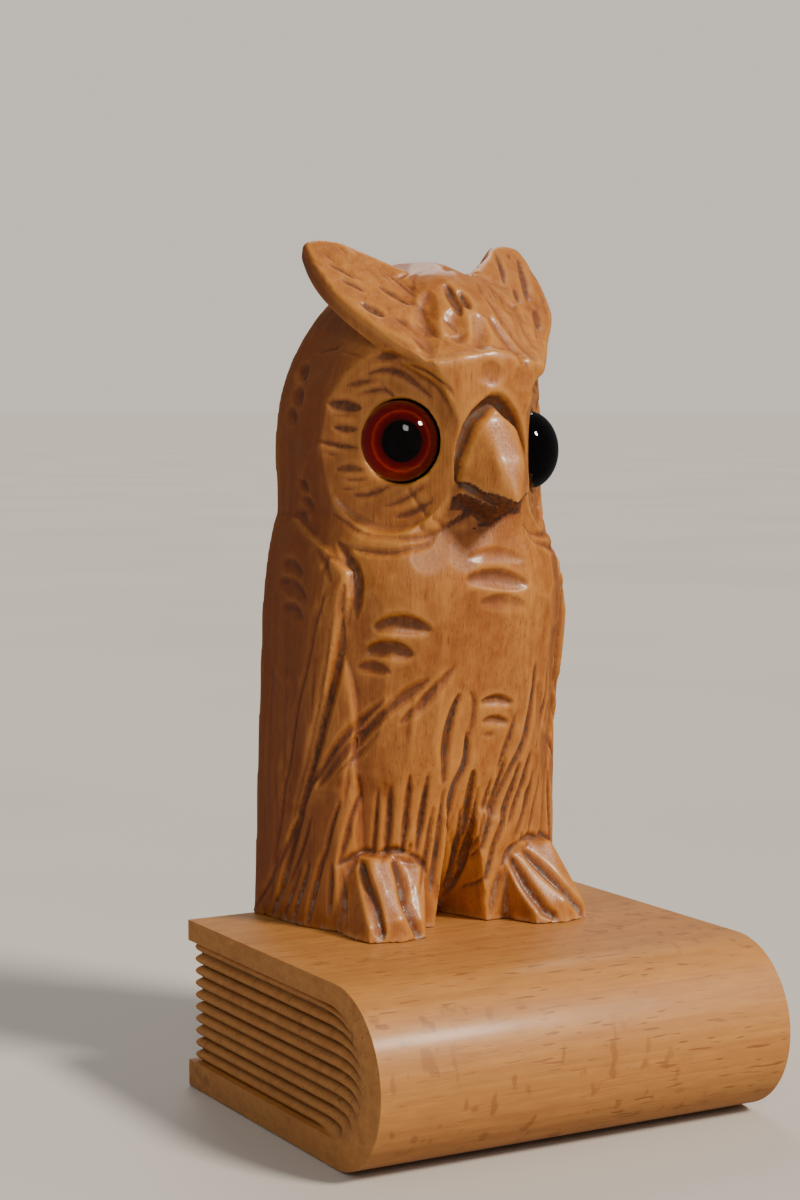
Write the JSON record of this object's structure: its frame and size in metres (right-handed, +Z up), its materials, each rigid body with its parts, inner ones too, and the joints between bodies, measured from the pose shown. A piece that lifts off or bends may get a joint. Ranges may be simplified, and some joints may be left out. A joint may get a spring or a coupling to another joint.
{
  "type": "owl figurine",
  "caption": "Carved wooden owl with glass eyes, standing on a wooden base cut as a closed book, screwed together from beneath.",
  "frame": {"origin": "middle of the whole object's footprint, on the surface it stands on", "axes": "+Z up, -Y the way the owl faces (the book's spine side), +X to the owl's left"},
  "size_m": [0.08, 0.0716, 0.1518],
  "materials": {
    "carved_wood": "waxed, satin, warm orange brown with darker cuts",
    "beech": "waxed, satin, with ray flecks",
    "clear_glass": "polished dome",
    "iris_enamel": "deep red amber enamel",
    "pupil_enamel": "black enamel",
    "eye_wire": "dull annealed wire",
    "setting_putty": "dark setting compound",
    "screw_steel": "plain, slightly aged"
  },
  "bodies": {
    "root": {"book_plinth": "beech", "owl_body": "carved_wood", "eye_glass_right": "clear_glass", "eye_glass_left": "clear_glass", "eye_iris_right": "iris_enamel", "eye_iris_left": "iris_enamel", "eye_pupil_right": "pupil_enamel", "eye_pupil_left": "pupil_enamel", "eye_wire_right": "eye_wire", "eye_wire_left": "eye_wire", "eye_putty_right": "setting_putty", "eye_putty_left": "setting_putty", "owl_screw_1": "screw_steel", "owl_screw_2": "screw_steel"}
  },
  "joints": []
}
